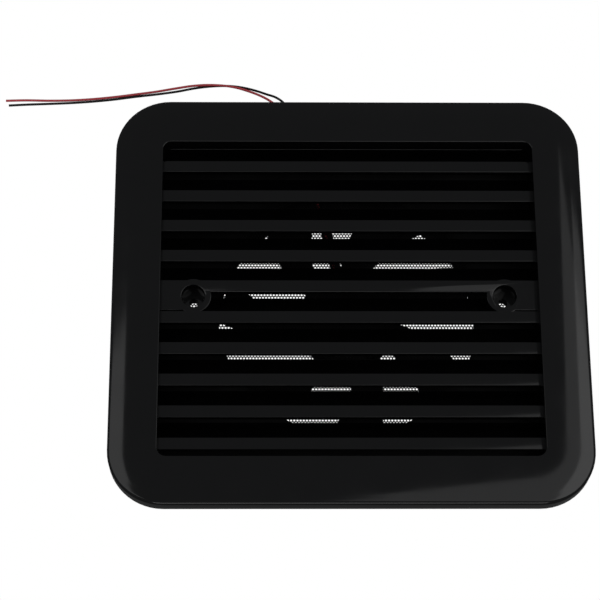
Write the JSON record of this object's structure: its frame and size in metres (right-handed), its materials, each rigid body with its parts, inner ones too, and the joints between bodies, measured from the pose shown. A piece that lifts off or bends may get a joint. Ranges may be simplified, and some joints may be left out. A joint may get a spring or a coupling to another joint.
{
  "type": "fan-powered wall vent",
  "caption": "Rectangular wall vent: rounded bezel with a recessed louvre insert, insect screen, rear duct casing and an axial fan driven through two loose leads.",
  "frame": {"origin": "centre of the vent's outline, in the plane of the fan's rear face, on which the vent lies", "axes": "+Z out of the louvred face, +X along the slats, +Y towards the edge where the leads come out"},
  "size_m": [0.3069, 0.2538, 0.0535],
  "materials": {
    "gloss_black": "glossy moulded ABS",
    "moulded_black": "satin moulded plastic",
    "screen_black": "black coated perforated sheet",
    "grey_foam": "closed-cell foam",
    "zinc_steel": "bright zinc",
    "bearing_steel": "ground",
    "laminated_steel": "stacked laminations",
    "copper_wire": "enamelled winding",
    "green_board": "solder mask",
    "magnet_grey": "bonded ferrite",
    "black_label": "blank black foil disc",
    "red_sleeve": "soft PVC sleeve",
    "black_sleeve": "soft PVC sleeve"
  },
  "bodies": {
    "housing": {"bezel_frame": "gloss_black", "louvre_grille": "gloss_black", "insect_screen": "screen_black", "duct_casing": "moulded_black", "casing_screw_1": "zinc_steel", "casing_screw_2": "zinc_steel", "casing_screw_3": "zinc_steel", "casing_screw_4": "zinc_steel", "casing_screw_5": "zinc_steel", "casing_screw_6": "zinc_steel", "fan_gasket": "grey_foam", "fan_housing": "moulded_black", "fan_screw_1": "zinc_steel", "fan_screw_2": "zinc_steel", "fan_screw_3": "zinc_steel", "fan_screw_4": "zinc_steel", "motor_label": "black_label", "stator_core": "laminated_steel", "coil_1": "copper_wire", "coil_2": "copper_wire", "coil_3": "copper_wire", "coil_4": "copper_wire", "circuit_board": "green_board", "bearing_lower": "bearing_steel", "bearing_upper": "bearing_steel", "strut_lead_red": "red_sleeve", "strut_lead_black": "black_sleeve", "lead_red": "red_sleeve", "lead_black": "black_sleeve"},
    "rotor": {"impeller": "moulded_black", "rotor_yoke": "zinc_steel", "ring_magnet": "magnet_grey", "rotor_shaft": "bearing_steel", "shaft_clip": "zinc_steel", "preload_spring": "zinc_steel"}
  },
  "joints": [
    {"name": "fan_spin", "type": "hinge", "parent": "housing", "child": "rotor", "pos_m": [0, 0, 0.0125], "axis": [0, 0, 1], "continuous": true}
  ]
}
